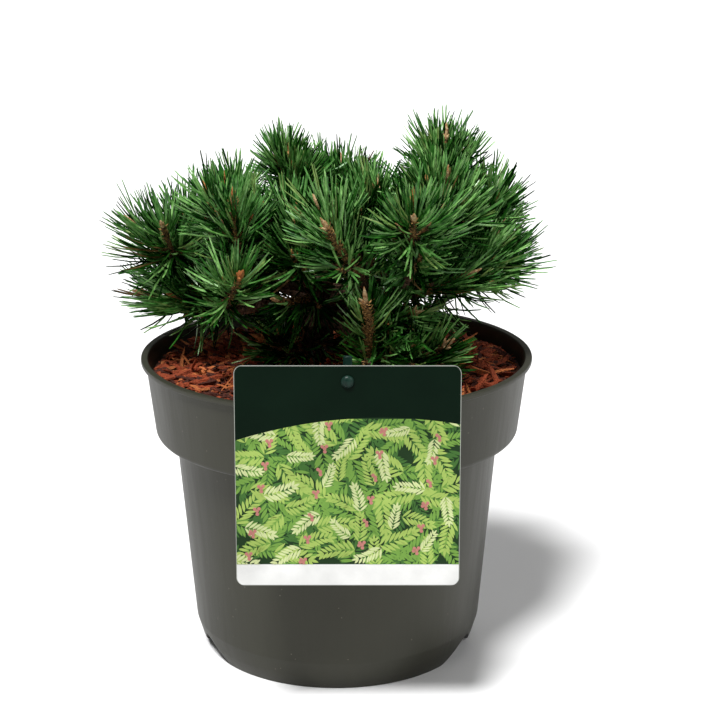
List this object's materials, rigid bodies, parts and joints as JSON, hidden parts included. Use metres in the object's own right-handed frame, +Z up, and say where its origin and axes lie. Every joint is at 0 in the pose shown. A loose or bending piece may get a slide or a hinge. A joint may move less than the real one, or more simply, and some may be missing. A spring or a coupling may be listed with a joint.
{
  "type": "potted mugo pine",
  "caption": "Young dwarf pine, a bushy shrub with a short trunk, bent boughs and needled shoots, in a round nursery pot topped with bark mulch, with a plain plant label hanging on a stake.",
  "frame": {"origin": "on the ground, at the middle of the round flat foot under the centre of the pot's floor", "axes": "+Z up along the pot's axis and the plant's height, -Y out of the front, where the label hangs, and +X to the right as the front is faced"},
  "size_m": [0.2641, 0.2608, 0.323],
  "materials": {
    "pot": "black moulded plastic with a satin sheen",
    "soil": "dark damp potting soil with roots",
    "bark_mulch": "reddish brown shredded bark, rough and matt",
    "bark": "brown scaly bark, matt",
    "needles": "mid green needles in pairs, slightly glossy, with tan to reddish buds",
    "label_card": null,
    "label_stake": "dark green moulded plastic"
  },
  "bodies": {
    "root": {"bark_mulch": "bark_mulch", "bough_back": "bark", "bough_back_left": "bark", "bough_back_right": "bark", "bough_centre": "bark", "bough_centre_low": "bark", "bough_centre_under": "bark", "bough_far_left": "bark", "bough_far_right": "bark", "bough_front": "bark", "bough_front_right": "bark", "bough_left_front": "bark", "bough_left_star": "bark", "bough_low_back": "bark", "bough_low_front": "bark", "bough_low_inner": "bark", "bough_low_left": "bark", "bough_low_right": "bark", "bough_mid_right": "bark", "bough_right": "bark", "bough_right_inner": "bark", "bough_right_under": "bark", "bough_top_back": "bark", "bough_top_back_left": "bark", "bough_top_left": "bark", "bough_top_right": "bark", "bough_upper_right": "bark", "foliage_back": "needles", "foliage_back_left": "needles", "foliage_back_right": "needles", "foliage_centre": "needles", "foliage_centre_low": "needles", "foliage_centre_under": "needles", "foliage_far_left": "needles", "foliage_far_right": "needles", "foliage_front": "needles", "foliage_front_right": "needles", "foliage_left_front": "needles", "foliage_left_star": "needles", "foliage_low_back": "needles", "foliage_low_front": "needles", "foliage_low_inner": "needles", "foliage_low_left": "needles", "foliage_low_right": "needles", "foliage_mid_right": "needles", "foliage_right": "needles", "foliage_right_inner": "needles", "foliage_right_under": "needles", "foliage_top_back": "needles", "foliage_top_back_left": "needles", "foliage_top_left": "needles", "foliage_top_right": "needles", "foliage_upper_right": "needles", "label_card": "label_card", "label_stake": "label_stake", "pot": "pot", "root_ball": "soil", "trunk": "bark"}
  },
  "joints": []
}
